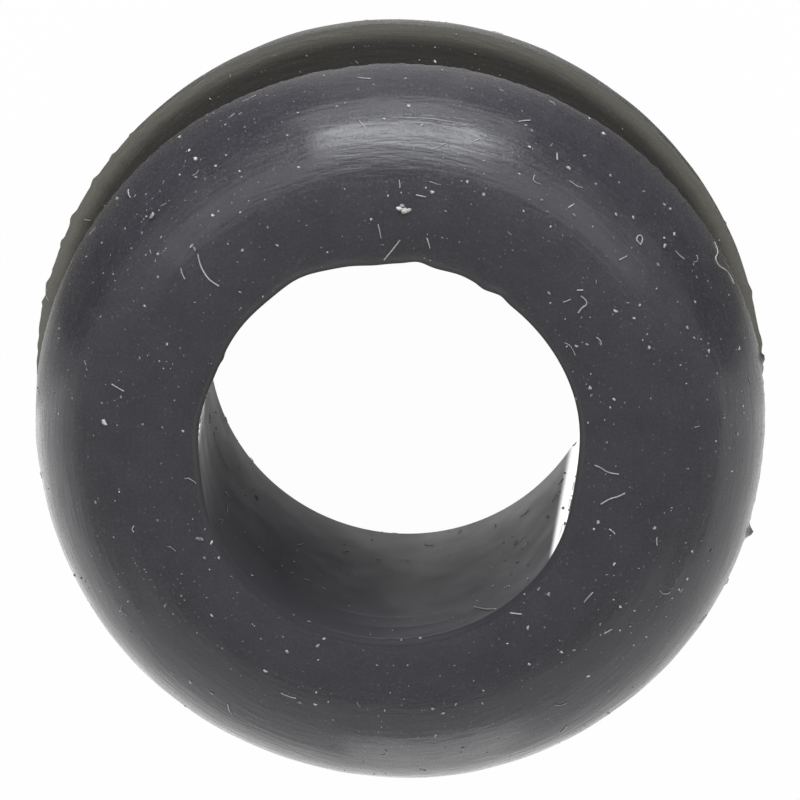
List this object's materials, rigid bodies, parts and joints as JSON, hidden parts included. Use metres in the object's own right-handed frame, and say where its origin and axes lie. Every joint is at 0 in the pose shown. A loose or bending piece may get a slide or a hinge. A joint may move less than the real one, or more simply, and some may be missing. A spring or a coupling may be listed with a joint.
{
  "type": "rubber grommet",
  "caption": "Round black rubber grommet with domed flanges either side of a panel groove and a straight bore that guides and protects a cable.",
  "frame": {"origin": "on the bore axis, halfway up the panel groove, which is the centre of the part", "axes": "+Z along the bore axis, square to the panel; the part is round, so X and Y are any two square directions in the plane of the panel"},
  "size_m": [0.0094, 0.0094, 0.0054],
  "materials": {
    "black_rubber": "satin moulded black rubber with fine concentric tool marks"
  },
  "bodies": {
    "root": {"grommet": "black_rubber"}
  },
  "joints": []
}
